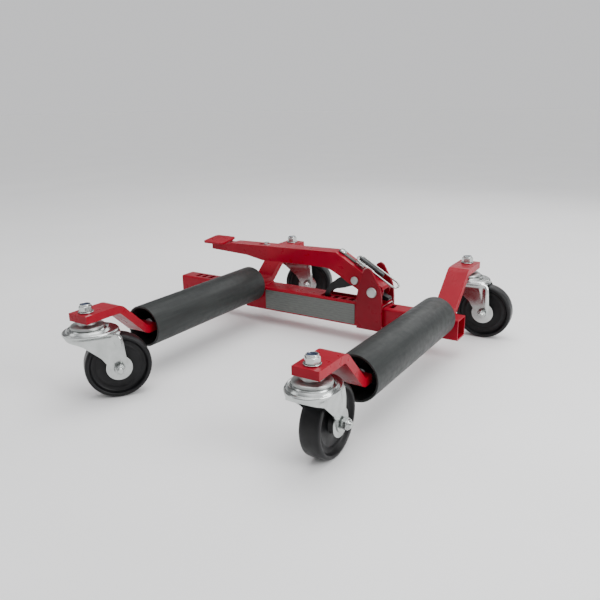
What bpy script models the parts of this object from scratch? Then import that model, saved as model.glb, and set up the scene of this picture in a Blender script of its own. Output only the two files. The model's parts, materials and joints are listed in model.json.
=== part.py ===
"""Foot-pedal wheel dolly: two rollers on a telescoping beam, carried by four swivel casters.

Lengths below are millimetres and are scaled to metres when a mesh is made. The design frame
has X = 0 midway between the roller axes, Y = 0 at the rollers' near ends and Z = 0 on the
ground less RISE; CENTRE_X and CENTRE_Y move the finished dolly over the world origin.
"""

import math

import bmesh
import bpy
from mathutils import Matrix, Vector

MM = 0.001
GAP = 0.3  # between pieces that touch
WELD = 0.0001
CENTRE_X, CENTRE_Y = -57.5, 183.9
RISE = 5.0

# rollers
ROLLER_X = 206.5  # each side of the middle
ROLLER_LENGTH = 316.5
ROLLER_RADIUS = 36.5
ROLLER_WALL = 3.5
ROLLER_DISC_INSET = 60.0
ROLLER_DISC_THICKNESS = 10.0
SHAFT_RADIUS = 10.0

# telescoping beam
SLEEVE_SIZE = 50.0
SLEEVE_WALL = 3.0
SLEEVE_LEFT, SLEEVE_RIGHT = -228.0, 95.5
SLEEVE_FRONT = 325.3
SLEEVE_BOTTOM = 26.0
RACK_SIZE = 40.0
RACK_WALL = 3.0
RACK_LEFT, RACK_RIGHT = -415.0, 243.5
SLOT_LEFT, SLOT_RIGHT = -46.0, 80.0
SLOT_WIDTH = 38.0
WINDOW_PITCH = 18.0
WINDOW_FIRST = -384.0
WINDOW_COUNT = 28
WINDOW_LENGTH, WINDOW_WIDTH = 10.0, 20.0

# flat-bar arms
BAR_WIDTH = 40.0
BAR_THICKNESS = 12.7
BAR_BEND_RADIUS = 15.0
ARM_TOP = 141.7
ARM_HOLE_RADIUS = 6.4
FRONT_ARM_END, FRONT_ARM_KNEE, FRONT_ARM_FOOT = -132.5, -62.5, -8.0
FRONT_FOOT_END = 14.0
REAR_FOOT_FRONT, REAR_FOOT_BEND, REAR_ARM_KNEE, REAR_ARM_END = 322.0, 368.0, 431.0, 500.0
CASTER_FRONT_Y, CASTER_REAR_Y = -115.4, 480.4

# casters
WHEEL_RADIUS = 53.5
AXLE_Z = WHEEL_RADIUS - RISE
WHEEL_WIDTH = 31.0
HUB_LENGTH = 35.0
TRAIL = 40.0
LEG_INSIDE = 20.1
LEG_THICKNESS = 3.0
DISC_RADIUS = 21.0
CROWN_TOP = 113.0
AXLE_RADIUS = 5.0
TRAIL_ANGLES = {"front_left": 54.0, "front_right": 91.0, "rear_right": 4.0, "rear_left": 18.0}

# ears, pedal and pawls, as X-Z places on the beam
EAR_THICKNESS = 5.0
PIVOT = (76.0, 102.2)
PIVOT_RADIUS = 8.0
PAWL_PIVOT = (32.2, 117.0)
PAWL_PIN_RADIUS = 5.0
PEDAL_WIDTH = 34.0
PEDAL_WALL = 3.5
KNEE = (-10.0, 168.5)
SLOPE = math.radians(-30.1)
PAD_LENGTH, PAD_WIDTH, PAD_THICKNESS = 54.0, 52.0, 3.6
PAD_TILT = math.radians(6.0)

BEAM_Y = SLEEVE_FRONT + SLEEVE_SIZE / 2
SLEEVE_TOP = SLEEVE_BOTTOM + SLEEVE_SIZE
RACK_BOTTOM = SLEEVE_BOTTOM + (SLEEVE_SIZE - RACK_SIZE) / 2
RACK_TOP = RACK_BOTTOM + RACK_SIZE
AXIS_Z = {
    "left": SLEEVE_TOP + GAP + BAR_THICKNESS / 2,
    "right": RACK_TOP + GAP + BAR_THICKNESS / 2,
}
SIDE_X = {"left": -ROLLER_X, "right": ROLLER_X}

RED, DARK_RED = (0.52, 0.010, 0.018, 1), (0.42, 0.008, 0.014, 1)
ZINC, STEEL, BLACK = (0.62, 0.64, 0.62, 1), (0.42, 0.43, 0.44, 1), (0.012, 0.012, 0.013, 1)
CHARCOAL, GREY = (0.045, 0.047, 0.050, 1), (0.20, 0.21, 0.20, 1)

# turn shapes made along Z, or drawn flat on X-Y, onto the other axes
ALONG_X = Matrix(((0, 0, 1, 0), (1, 0, 0, 0), (0, 1, 0, 0), (0, 0, 0, 1)))
ALONG_Y = Matrix(((0, 1, 0, 0), (0, 0, 1, 0), (1, 0, 0, 0), (0, 0, 0, 1)))
ACROSS_Y = Matrix(((1, 0, 0, 0), (0, 0, 1, 0), (0, 1, 0, 0), (0, 0, 0, 1)))

for old in list(bpy.data.objects):
    bpy.data.objects.remove(old, do_unlink=True)

parts = bpy.data.collections.new("wheel_dolly")
cutters = bpy.data.collections.new("cutters")
cutters.hide_render = True


# ---------------------------------------------------------------- mesh building
def material_for(name, colour, metallic, roughness):
    material = bpy.data.materials.new(name)
    material.use_nodes = True
    shader = material.node_tree.nodes["Principled BSDF"]
    shader.inputs["Base Color"].default_value = colour
    shader.inputs["Metallic"].default_value = metallic
    shader.inputs["Roughness"].default_value = roughness
    material.diffuse_color = colour
    return material


def placed(name, bm, origin, turn, collection):
    """The object of this mesh, whose points are millimetres from `origin`."""
    bmesh.ops.recalc_face_normals(bm, faces=bm.faces)
    bmesh.ops.scale(bm, vec=(MM, MM, MM), verts=bm.verts)
    mesh = bpy.data.meshes.new(name)
    bm.to_mesh(mesh)
    bm.free()
    obj = bpy.data.objects.new(name, mesh)
    collection.objects.link(obj)
    x, y, z = origin
    obj.location = Vector((x - CENTRE_X, y - CENTRE_Y, z + RISE)) * MM
    obj.rotation_euler = (0, 0, turn)
    return obj


def part(name, bm, colour, metallic=0.0, roughness=0.35, origin=(0, 0, 0), turn=0.0):
    obj = placed(name, bm, origin, turn, parts)
    obj.data.materials.append(material_for(name, colour, metallic, roughness))
    return obj


def cut(obj, bm, origin=(0, 0, 0), turn=0.0, operation="DIFFERENCE"):
    """Cuts this mesh from `obj`, or joins it on."""
    tool = placed(f"{obj.name}_tool_{len(obj.modifiers)}", bm, origin, turn, cutters)
    tool.hide_render = True
    tool.display_type = "WIRE"
    modifier = obj.modifiers.new(tool.name, "BOOLEAN")
    modifier.operation = operation
    modifier.solver = "EXACT"
    modifier.object = tool


def soften(obj, width, segments=1, angle=35.0):
    bevel = obj.modifiers.new("edges", "BEVEL")
    bevel.width = width * MM
    bevel.segments = segments
    bevel.limit_method = "ANGLE"
    bevel.angle_limit = math.radians(angle)


def smooth(obj, angle=32.0):
    obj.data.shade_smooth()
    obj.data.set_sharp_from_angle(angle=math.radians(angle))


def mesh_of(data, modify=None):
    """The mesh that a curve, or a profile under a modifier, makes. Its loose caps and seams are
    welded."""
    source = bpy.data.objects.new("source", data)
    bpy.context.scene.collection.objects.link(source)
    if modify:
        modify(source)
    evaluated = source.evaluated_get(bpy.context.evaluated_depsgraph_get())
    mesh = bpy.data.meshes.new_from_object(evaluated)
    bm = bmesh.new()
    bm.from_mesh(mesh)
    bmesh.ops.remove_doubles(bm, verts=bm.verts, dist=WELD)
    bpy.data.objects.remove(source, do_unlink=True)
    bpy.data.meshes.remove(mesh)
    return bm


def poly_curve(name, lines, dimensions):
    curve = bpy.data.curves.new(name, "CURVE")
    curve.dimensions = dimensions
    for line in lines:
        spline = curve.splines.new("POLY")
        spline.points.add(len(line) - 1)
        for point, place in zip(spline.points, line):
            point.co = (*place, 0, 1) if len(place) == 2 else (*place, 1)
        spline.use_cyclic_u = True
    return curve


def prism(outline, low, high, axis, hole=None):
    """A flat outline, with or without a hole, between two levels along one axis: X takes (y, z)
    points, Y (x, z) and Z (x, y)."""
    curve = poly_curve("outline", [outline, hole] if hole else [outline], "2D")
    curve.fill_mode = "BOTH"
    curve.extrude = (high - low) / 2
    bm = mesh_of(curve)
    bmesh.ops.translate(bm, vec=(0, 0, (low + high) / 2), verts=bm.verts)
    return moved(bm, {"X": ALONG_X, "Y": ACROSS_Y, "Z": Matrix()}[axis])


def lathe(profile, axis="Z", steps=28, centre=(0, 0, 0), phase=0.0):
    """(radius, height) points turned about an axis. The profile closes on itself unless it starts
    and ends on the axis. `phase` turns the finished shape, in steps."""
    bm = bmesh.new()
    points = [bm.verts.new((radius, 0, height)) for radius, height in profile]
    ends = points[1:] if profile[0][0] == 0 and profile[-1][0] == 0 else points[1:] + points[:1]
    for a, b in zip(points, ends):
        bm.edges.new((a, b))
    mesh = bpy.data.meshes.new("profile")
    bm.to_mesh(mesh)
    bm.free()

    def turn(source):
        screw = source.modifiers.new("turned", "SCREW")
        screw.steps = screw.render_steps = steps
        screw.use_merge_vertices = True
        screw.merge_threshold = WELD

    bm = mesh_of(mesh, turn)
    moved(bm, Matrix.Rotation(2 * math.pi * phase / steps, 4, "Z"))
    return moved(bm, Matrix.Translation(centre) @ {"X": ALONG_X, "Y": ALONG_Y, "Z": Matrix()}[axis])


def moved(bm, matrix):
    bmesh.ops.transform(bm, matrix=matrix, verts=bm.verts)
    return bm


def rod(radius, low, high, axis="Y", steps=20, centre=(0, 0, 0)):
    bm = bmesh.new()
    bmesh.ops.create_cone(bm, cap_ends=True, segments=steps, radius1=radius, radius2=radius,
                          depth=high - low, matrix=Matrix.Translation((0, 0, (low + high) / 2)))
    return moved(bm, Matrix.Translation(centre) @ {"X": ALONG_X, "Y": ALONG_Y, "Z": Matrix()}[axis])


def box(x0, x1, y0, y1, z0, z1, bm=None):
    bm = bm or bmesh.new()
    middle = Matrix.Translation(((x0 + x1) / 2, (y0 + y1) / 2, (z0 + z1) / 2))
    size = Matrix.Diagonal((x1 - x0, y1 - y0, z1 - z0, 1))
    bmesh.ops.create_cube(bm, size=1, matrix=middle @ size)
    return bm


def arc(x, z, radius, start, end, steps):
    """Points round (x, z), from one angle to another in degrees."""
    angles = [math.radians(start + (end - start) * i / steps) for i in range(steps + 1)]
    return [(x + radius * math.cos(a), z + radius * math.sin(a)) for a in angles]


def rounded_square(cy, cz, size, radius, steps=3):
    h = size / 2 - radius
    corners = ((h, h, 0), (-h, h, 90), (-h, -h, 180), (h, -h, 270))
    return [p for dy, dz, a in corners for p in arc(cy + dy, cz + dz, radius, a, a + 90, steps)]


def hexagon(across_flats, turn=0.0):
    r = across_flats / math.sqrt(3)
    return [(r * math.cos(math.radians(60 * i + turn)), r * math.sin(math.radians(60 * i + turn)))
            for i in range(6)]


def ribbon(path, radius, thickness, steps=5):
    """The outline of a flat bar of this thickness bent along a path."""
    line = [Vector(path[0])]
    for before, corner, after in zip(path, path[1:], path[2:]):
        corner = Vector(corner)
        a, b = (Vector(before) - corner).normalized(), (Vector(after) - corner).normalized()
        half = a.angle(b) / 2
        reach = radius / math.tan(half)
        start, end = corner + a * reach, corner + b * reach
        centre = corner + (a + b).normalized() * (radius / math.sin(half))
        first, last = start - centre, end - centre
        sweep = math.atan2(first.x * last.y - first.y * last.x, first.dot(last))
        for i in range(steps + 1):
            a = sweep * i / steps
            turned = (first.x * math.cos(a) - first.y * math.sin(a),
                      first.x * math.sin(a) + first.y * math.cos(a))
            line.append(centre + Vector(turned))
    line.append(Vector(path[-1]))
    left, right = [], []
    for i, point in enumerate(line):
        back = (point - line[i - 1]).normalized() if i else None
        ahead = (line[i + 1] - point).normalized() if i + 1 < len(line) else None
        if back and ahead:
            along = (back + ahead).normalized()
            offset = thickness / 2 / along.dot(back)
        else:
            along, offset = back or ahead, thickness / 2
        normal = Vector((-along.y, along.x)) * offset
        left.append(tuple(point + normal))
        right.append(tuple(point - normal))
    return left + right[::-1]


def ring_of_wire(path, radius):
    """A round wire along a closed path of points."""
    curve = poly_curve("wire", [path], "3D")
    curve.bevel_depth = radius
    curve.bevel_resolution = 2
    return mesh_of(curve)


# ---------------------------------------------------------------- beam
def beam():
    sleeve_z = SLEEVE_BOTTOM + SLEEVE_SIZE / 2
    sleeve = part("outer_sleeve", prism(
        rounded_square(BEAM_Y, sleeve_z, SLEEVE_SIZE, 5.0), SLEEVE_LEFT, SLEEVE_RIGHT, "X",
        rounded_square(BEAM_Y, sleeve_z, SLEEVE_SIZE - 2 * SLEEVE_WALL, 2.5)), RED)
    half = SLOT_WIDTH / 2
    cut(sleeve, box(SLOT_LEFT, SLOT_RIGHT, BEAM_Y - half, BEAM_Y + half,
                    SLEEVE_TOP - 8, SLEEVE_TOP + 8))
    rack = part("rack_tube", prism(
        rounded_square(BEAM_Y, sleeve_z, RACK_SIZE, 4.0), RACK_LEFT, RACK_RIGHT, "X",
        rounded_square(BEAM_Y, sleeve_z, RACK_SIZE - 2 * RACK_WALL, 2.0)), RED)
    windows = bmesh.new()
    half = WINDOW_WIDTH / 2
    for i in range(WINDOW_COUNT):
        x = WINDOW_FIRST + i * WINDOW_PITCH
        box(x, x + WINDOW_LENGTH, BEAM_Y - half, BEAM_Y + half, RACK_TOP - 8, RACK_TOP + 4, windows)
    cut(rack, windows)

    px, pz = PIVOT
    ear = [(44, SLEEVE_BOTTOM), (98, SLEEVE_BOTTOM), (97, 60), (96.5, 84), (95.2, 101),
           (92.5, 111), (83, 128), (74, 142.5)]
    ear += arc(66.5, 139.5, 8.0, 22, 158, 6) + [(52.5, 122), (46.5, 104), (44, 92)]
    for name, low in (("near_ear", SLEEVE_FRONT - GAP - EAR_THICKNESS),
                      ("far_ear", SLEEVE_FRONT + SLEEVE_SIZE + GAP)):
        plate = part(name, prism(ear, low, low + EAR_THICKNESS, "Y"), DARK_RED)
        cut(plate, rod(PIVOT_RADIUS + GAP, low - 5, low + EAR_THICKNESS + 5, centre=(px, 0, pz)))
        soften(plate, 0.8)
    label = part("data_plate", box(-175, 37.5, SLEEVE_FRONT - GAP - 0.8, SLEEVE_FRONT - GAP,
                                   SLEEVE_BOTTOM + 4.5, SLEEVE_TOP - 4.5), GREY, 0.6, 0.45)
    soften(label, 0.2)


# ---------------------------------------------------------------- one side: arms, shaft, roller
def side(name):
    x, axis_z = SIDE_X[name], AXIS_Z[name]
    arm_z = ARM_TOP - BAR_THICKNESS / 2
    arms = {
        "front": ([(FRONT_ARM_END, arm_z), (FRONT_ARM_KNEE, arm_z), (FRONT_ARM_FOOT, axis_z),
                   (FRONT_FOOT_END, axis_z)], CASTER_FRONT_Y),
        "rear": ([(REAR_FOOT_FRONT, axis_z), (REAR_FOOT_BEND, axis_z), (REAR_ARM_KNEE, arm_z),
                  (REAR_ARM_END, arm_z)], CASTER_REAR_Y),
    }
    for place, (path, hole_y) in arms.items():
        arm = part(f"{name}_{place}_arm", prism(
            ribbon(path, BAR_BEND_RADIUS, BAR_THICKNESS),
            x - BAR_WIDTH / 2, x + BAR_WIDTH / 2, "X"), RED)
        soften(arm, 0.9)
        cut(arm, rod(ARM_HOLE_RADIUS, ARM_TOP - 30, ARM_TOP + 10, "Z", 20, (x, hole_y, 0)))
    shaft = part(f"{name}_shaft", rod(SHAFT_RADIUS, FRONT_FOOT_END + GAP, REAR_FOOT_FRONT - GAP,
                                      steps=24), STEEL, 1.0, origin=(x, 0, axis_z))
    smooth(shaft)
    r, bore, length = ROLLER_RADIUS, ROLLER_RADIUS - ROLLER_WALL, ROLLER_LENGTH
    inset, thick, hub = ROLLER_DISC_INSET, ROLLER_DISC_THICKNESS, SHAFT_RADIUS + 0.4
    profile = [(r - 1, 0), (r, 1), (r, length - 1), (r - 1, length), (bore, length)]
    profile += [(bore, length - inset), (hub, length - inset), (hub, length - inset - thick),
                (bore, length - inset - thick), (bore, inset + thick), (hub, inset + thick),
                (hub, inset), (bore, inset), (bore, 0)]
    roller = part(f"{name}_roller", lathe(profile, "Y", 40), CHARCOAL, 0.3, 0.42,
                  origin=(x, 0, axis_z))
    smooth(roller)


# ---------------------------------------------------------------- casters
def lofted(rings):
    """Walls between rings of points, with a cap at each end."""
    bm = bmesh.new()
    rows = [[bm.verts.new(point) for point in ring] for ring in rings]
    for low, high in zip(rows, rows[1:]):
        for i, corner in enumerate(low):
            bm.faces.new((low[i - 1], corner, high[i], high[i - 1]))
    bm.faces.new(rows[0])
    bm.faces.new(rows[-1])
    return bm


def crown_section(z, x0, x1, half_width, power, steps=20):
    """One level of the fork's pressed body, from round at the top to straight-sided."""
    centre, reach = (x0 + x1) / 2, (x1 - x0) / 2
    ring = []
    for i in range(steps):
        a = 2 * math.pi * i / steps
        c, s = math.cos(a), math.sin(a)
        ring.append((centre + reach * math.copysign(abs(c) ** (2 / power), c),
                     half_width * math.copysign(abs(s) ** (2 / power), s), z))
    return ring


def fork_mesh(origin, turn, name):
    out = LEG_INSIDE + LEG_THICKNESS
    levels = [(CROWN_TOP, -39, 45, 35.0, 2.0), (109, -40.5, 47, 35.5, 2.1),
              (104, -38.5, 49, 32.0, 2.6), (98, -35, 51, 26.5, 4.0), (91, -32, 53, out, 9.0),
              (28, -32, 60, out, 9.0)]
    fork = part(name, lofted([crown_section(*level) for level in levels]),
                ZINC, 1.0, 0.28, origin, turn)
    wall = LEG_THICKNESS
    inner = [(CROWN_TOP - wall, -36, 42, 32.0, 2.0), (107, -37, 44, 32.0, 2.1),
             (103, -35.5, 46, 29.0, 2.6), (97, -32, 48, 23.5, 4.0),
             (90, -29, 50, LEG_INSIDE, 9.0), (20, -29, 70, LEG_INSIDE, 9.0)]
    cut(fork, lofted([crown_section(*level) for level in inner]), origin, turn)
    side_view = [(-60, 130), (-60, 103), (-32, 100.5), (-10, 91), (14, 69), (26, 52)]
    side_view += arc(TRAIL, AXLE_Z, 14.0, 165, 385, 9) + [(53.5, 64), (49, 100), (60, 130)]
    cut(fork, prism(side_view, -60, 60, "Y"), origin, turn, "INTERSECT")
    cut(fork, box(6, 90, -LEG_INSIDE, LEG_INSIDE, 20, 106), origin, turn)
    ridge = [(21, 111), (21.5, 116), (25.5, 117.2), (28.5, 114.8), (31, 116.6), (34.8, 113.8),
             (34.8, 110.6)]
    cut(fork, lathe(ridge, steps=24), origin, turn, "UNION")
    cut(fork, rod(8.0, 90, 130, "Z", 16), origin, turn)
    cut(fork, rod(AXLE_RADIUS + 0.4, -40, 40, steps=12, centre=(TRAIL, 0, AXLE_Z)),
        origin, turn)
    smooth(fork, 28)
    return fork


def caster(place, x, y):
    turn = math.radians(TRAIL_ANGLES[place])
    base = (x, y, 0)
    axle = (x + TRAIL * math.cos(turn), y + TRAIL * math.sin(turn), AXLE_Z)
    arm_bottom = ARM_TOP - BAR_THICKNESS
    stem = [(0, 103.6), (10, 103.6), (11, 109.6), (7.6, 109.6), (7.6, 114), (19, 114),
            (19, 118), (27, 118), (26, 122), (15, 124.6), (15, arm_bottom - GAP),
            (6, arm_bottom - GAP), (6, 149), (0, 149)]
    smooth(part(f"{place}_stem", lathe(stem, steps=20), ZINC, 1.0, 0.3, base, turn), 30)

    low = ARM_TOP + GAP
    nut = part(f"{place}_stem_nut", rod(12.0, low, low + 2.2, "Z"), ZINC, 1.0, 0.28, base)
    cut(nut, prism(hexagon(19.0, 12.0), low + 1.0, low + 10.6, "Z"), base, 0, "UNION")
    cut(nut, lathe([(0, low + 9), (8.6, low + 9), (8.4, low + 12.6), (7.2, low + 13.9),
                    (0, low + 13.9)], steps=18), base, 0, "UNION")
    cut(nut, lathe([(0, low - 5), (6.3, low - 5), (6.3, low + 8), (5, low + 9), (5, low + 20),
                    (0, low + 20)], steps=16), base)
    smooth(nut, 40)

    fork_mesh(base, turn, f"{place}_fork")

    half, hub = WHEEL_WIDTH / 2, HUB_LENGTH / 2
    face = [(5.5, -hub), (15, -hub), (18.5, -8.5), (41, -8), (44.5, -half),
            (WHEEL_RADIUS - 4, -half), (WHEEL_RADIUS - 1.2, -half + 2.5),
            (WHEEL_RADIUS - 0.1, -half + 7)]
    rim = face + [(WHEEL_RADIUS, 0)] + [(r, -w) for r, w in reversed(face)]
    smooth(part(f"{place}_wheel", lathe(rim, "Y", 30, phase=0.5), BLACK, 0, 0.4, axle, turn), 34)
    for mark, sign in (("near", -1), ("far", 1)):
        inside, outside = sign * (hub + 0.2), sign * (LEG_INSIDE - 0.2)
        disc = [(5.5, inside), (DISC_RADIUS, inside), (DISC_RADIUS - 0.8, outside), (5.5, outside)]
        smooth(part(f"{place}_hub_disc_{mark}", lathe(disc, "Y", 24), ZINC, 1.0, 0.3, axle, turn))
    out = LEG_INSIDE + LEG_THICKNESS + GAP
    bolt = part(f"{place}_axle_bolt", rod(AXLE_RADIUS, -36, out + 2, steps=18),
                ZINC, 1.0, 0.3, axle, turn)
    cut(bolt, prism(hexagon(16.0), out, out + 6.2, "Y"), axle, turn, "UNION")
    smooth(bolt, 40)
    nut = part(f"{place}_axle_nut", prism(hexagon(16.0, 20), -out - 7.4, -out, "Y"),
               ZINC, 1.0, 0.3, axle, turn)
    cut(nut, rod(7.2, -out - 9.4, -out - 5, steps=16), axle, turn, "UNION")
    cut(nut, rod(AXLE_RADIUS + 0.3, -50, -10, steps=12), axle, turn)
    smooth(nut, 40)


# ---------------------------------------------------------------- pedal
def on_slope(along, height, y=0.0):
    """A place on the pedal's sloping face, from the knee down the slope and out from it."""
    return Vector((KNEE[0] + along * math.cos(SLOPE) - height * math.sin(SLOPE), BEAM_Y + y,
                   KNEE[1] + along * math.sin(SLOPE) + height * math.cos(SLOPE)))


def pedal():
    px, pz = PIVOT
    sx, sz = PAWL_PIVOT
    pivot = (px, BEAM_Y, pz)
    half = PEDAL_WIDTH / 2
    top = [(-322, 156.8), (-284, 157.6), (-268, 161.0), KNEE, (74, 119.8)]
    side_view = [(x - px, z - pz) for x, z in top] + arc(0, 0, 17.0, 35, -115, 8)
    side_view += [(x - px, z - pz) for x, z in
                  [(38, 100.5), (16.4, 111.4), (0.3, 121.3), (-20, 131.5), (-31.5, 135),
                   (-92, 135.2), (-134, 134.1), (-187, 132.3), (-229, 139.6), (-322, 143.4)]]
    lever = part("pedal_lever", prism(side_view, -half, half, "Y"), RED, origin=pivot)
    soften(lever, 1.2, 2)
    inside = [(x - px, z - pz - PEDAL_WALL) for x, z in
              [(-318.5, 157.0), (-284, 157.6), (-268, 161.0), KNEE, (120, 93.2)]]
    inside += [(60, -60), (-318.5 - px, -60)]
    cut(lever, prism(inside, PEDAL_WALL - half, half - PEDAL_WALL, "Y"), pivot)
    cut(lever, rod(PIVOT_RADIUS + GAP, -40, 40, steps=24), pivot)
    cut(lever, rod(PAWL_PIN_RADIUS + GAP, -40, 40, centre=(sx - px, 0, sz - pz)), pivot)
    screw_at = on_slope(7, 0)
    down_slope = Matrix.Translation(screw_at - Vector(pivot)) @ Matrix.Rotation(-SLOPE, 4, "Y")
    cut(lever, moved(rod(3.2, -10, 6, "Z", 16), down_slope), pivot)
    bolt_x, bolt_z = -186.0, 163.1
    cut(lever, rod(3.2, -12, 12, "Z", 16, (bolt_x - px, 0, bolt_z - pz)), pivot)
    cut(lever, box(-205 - px, -194 - px, -4.5, 4.5, bolt_z - pz - 12, bolt_z - pz + 12), pivot)

    pad_at = Vector((-313, BEAM_Y - 2, 161.2))
    pad = part("pedal_pad", moved(
        box(-PAD_LENGTH / 2, PAD_LENGTH / 2, -PAD_WIDTH / 2, PAD_WIDTH / 2,
            -PAD_THICKNESS / 2, PAD_THICKNESS / 2),
        Matrix.Translation(pad_at - Vector(pivot)) @ Matrix.Rotation(PAD_TILT, 4, "X")),
        RED, origin=pivot)
    soften(pad, 0.8, 2)

    near, far = SLEEVE_FRONT - GAP - EAR_THICKNESS, SLEEVE_FRONT + SLEEVE_SIZE + GAP + EAR_THICKNESS
    low, high = near - GAP - BEAM_Y, far + GAP - BEAM_Y
    pin = [(0, low - 3.4), (8.2, low - 3.4), (10.2, low - 1.8), (10.2, low), (8, low), (8, high),
           (10.2, high), (10.2, high + 1.8), (8.2, high + 3.4), (0, high + 3.4)]
    smooth(part("pivot_pin", lathe(pin, "Y", 28), ZINC, 1.0, 0.3, pivot), 40)
    low, high = -half - GAP, half + GAP
    pin = [(0, low - 3), (6.2, low - 3), (8, low - 1.6), (8, low), (5, low), (5, high),
           (8, high), (8, high + 1.6), (6.2, high + 3), (0, high + 3)]
    smooth(part("pawl_pin", lathe(pin, "Y", 24), ZINC, 1.0, 0.3, (sx, BEAM_Y, sz)), 40)

    head = [(0, -9), (2.8, -9), (2.8, 2.9), (7.2, 2.9), (7.4, 4.4), (6.0, 6.6), (3.0, 7.6),
            (0, 7.7)]
    smooth(part("knee_screw", moved(lathe(head, "Z", 24), Matrix.Rotation(-SLOPE, 4, "Y")),
                ZINC, 1.0, 0.25, screw_at), 40)
    bolt = part("pedal_bolt", rod(2.8, -9, 2, "Z"), ZINC, 1.0, 0.3, (bolt_x, BEAM_Y, bolt_z))
    cut(bolt, prism(hexagon(10.0, 10), 0.9, 4.8, "Z"), (bolt_x, BEAM_Y, bolt_z), 0, "UNION")


# ---------------------------------------------------------------- pawls
def pawls():
    px, pz = PIVOT
    sx, sz = PAWL_PIVOT
    drive = [(38, 127), (20, 127), (6, 122), (-8, 115.5), (-26, 101.5), (-36.5, 86), (-40, 77),
             (-40, 72.6), (-34, 73.0), (-29.5, 80), (-23, 88), (-10, 93), (5, 96.5), (25, 104)]
    boss = arc(sx, sz, 11.0, -60, 60, 6)
    bar = part("drive_pawl", prism([(x - sx, z - sz) for x, z in drive + boss], -8, 8, "Y"),
               BLACK, 0.2, 0.35, (sx, BEAM_Y, sz))
    soften(bar, 0.8)
    cut(bar, rod(PAWL_PIN_RADIUS + GAP, -20, 20), (sx, BEAM_Y, sz))
    hold = arc(0, 0, 10.5, -28, 165, 10)
    hold += [(-21, -12), (-29, -22), (-30.5, -29.6), (-21.5, -29.6), (-16, -22), (-7, -14),
             (7, -15), (12, -18.5), (21, -20.5), (26, -17.5), (24, -13), (15, -10)]
    catch = part("holding_pawl", prism(hold, -7, 7, "Y"), BLACK, 0.2, 0.35, (px, BEAM_Y, pz))
    soften(catch, 0.8)
    cut(catch, rod(PIVOT_RADIUS + GAP, -20, 20, steps=24), (px, BEAM_Y, pz))


# ---------------------------------------------------------------- lock pin on its strap
def lock_pin():
    anchor = on_slope(0, 0)
    tilt = Matrix.Rotation(-SLOPE, 4, "Y")
    strap = part("tether_strap", moved(box(-1, 41.7, -4, 4, GAP, 2.6), tilt),
                 (0.05, 0.055, 0.05, 1), 0.3, 0.5, anchor)
    soften(strap, 0.5)
    cut(strap, moved(rod(3.2, -10, 10, "Z", 16, (7, 0, 0)), tilt), anchor)
    middle = on_slope(52, 5.6, -2)
    sleeve = [(0, -10), (4.4, -10), (5, -9.2), (5, 9.2), (4.4, 10), (0, 10)]
    smooth(part("tether_ferrule", moved(lathe(sleeve, "X", 20), tilt), ZINC, 1.0, 0.28, middle))

    hinge = on_slope(40, 14.0)
    length, spread, gauge = 98.0, 11.0, 2.0
    path = [(spread + length - 2 * spread + spread * math.cos(a), spread * math.sin(a))
            for a in (math.radians(-90 + 180 * i / 9) for i in range(10))]
    path += [(spread - spread * math.cos(a), spread * math.sin(a))
             for a in (math.radians(90 - 180 * i / 9) for i in range(10))]
    roll = Matrix.Rotation(math.radians(9), 4, "X")
    bail = moved(ring_of_wire([(x, y, 0) for x, y in path], gauge), tilt @ roll)
    smooth(part("pin_bail", bail, ZINC, 1.0, 0.25, hinge), 60)
    shank = [(0, 4), (3.6, 4), (4.3, 4.8), (4.3, 60), (3.4, 62.5), (0, 62.5)]
    bar = moved(lathe(shank, "X", 20), tilt @ roll @ Matrix.Translation((0, 0, 1.2)))
    smooth(part("pin_shank", bar, (0.05, 0.055, 0.055, 1), 0.7, 0.35, hinge), 40)


beam()
for side_name in ("left", "right"):
    side(side_name)
    for end, place_y in (("front", CASTER_FRONT_Y), ("rear", CASTER_REAR_Y)):
        caster(f"{end}_{side_name}", SIDE_X[side_name], place_y)
pedal()
pawls()
lock_pin()
bpy.context.scene.collection.children.link(parts)
bpy.context.scene.collection.children.link(cutters)
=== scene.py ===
"""The finished look of the wheel dolly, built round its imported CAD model.

Lengths are millimetres in the design frame of the CAD: X = 0 midway between the roller axes,
Y = 0 at the rollers' near ends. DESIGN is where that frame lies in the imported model, read from
the pedal's hinge, and every mesh is scaled to metres when it is made.
"""

import json
import math

import bmesh
import bpy
from mathutils import Matrix, Vector


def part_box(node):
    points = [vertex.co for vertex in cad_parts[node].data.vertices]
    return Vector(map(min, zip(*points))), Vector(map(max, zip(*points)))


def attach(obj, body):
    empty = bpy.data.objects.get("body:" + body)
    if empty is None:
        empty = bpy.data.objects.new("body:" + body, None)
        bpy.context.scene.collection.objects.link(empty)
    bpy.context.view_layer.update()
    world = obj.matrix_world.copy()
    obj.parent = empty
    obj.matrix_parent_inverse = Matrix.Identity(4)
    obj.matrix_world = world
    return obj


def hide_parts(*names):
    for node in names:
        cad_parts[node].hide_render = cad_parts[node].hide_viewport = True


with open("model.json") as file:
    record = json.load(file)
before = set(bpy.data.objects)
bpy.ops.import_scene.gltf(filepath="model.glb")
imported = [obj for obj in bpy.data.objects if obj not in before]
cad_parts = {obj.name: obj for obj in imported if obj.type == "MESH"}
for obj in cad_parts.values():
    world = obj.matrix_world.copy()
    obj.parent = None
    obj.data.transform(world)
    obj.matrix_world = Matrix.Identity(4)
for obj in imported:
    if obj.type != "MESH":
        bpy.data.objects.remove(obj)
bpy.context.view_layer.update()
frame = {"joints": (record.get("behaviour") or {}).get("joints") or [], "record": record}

MM = 0.001
WELD = 0.0001
JOINTS = {joint["name"]: joint for joint in frame["joints"]}
BODY_OF = {node: body for body, nodes in frame["record"]["behaviour"]["bodies"].items()
           for node in nodes}


def joint_at(name):
    return Vector(JOINTS[name]["pos_m"]) / MM


def extent(node):
    """The lowest and highest corners of a CAD node, in the design frame."""
    return tuple(TO_DESIGN @ (Vector(corner) / MM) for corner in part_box(node))


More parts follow.
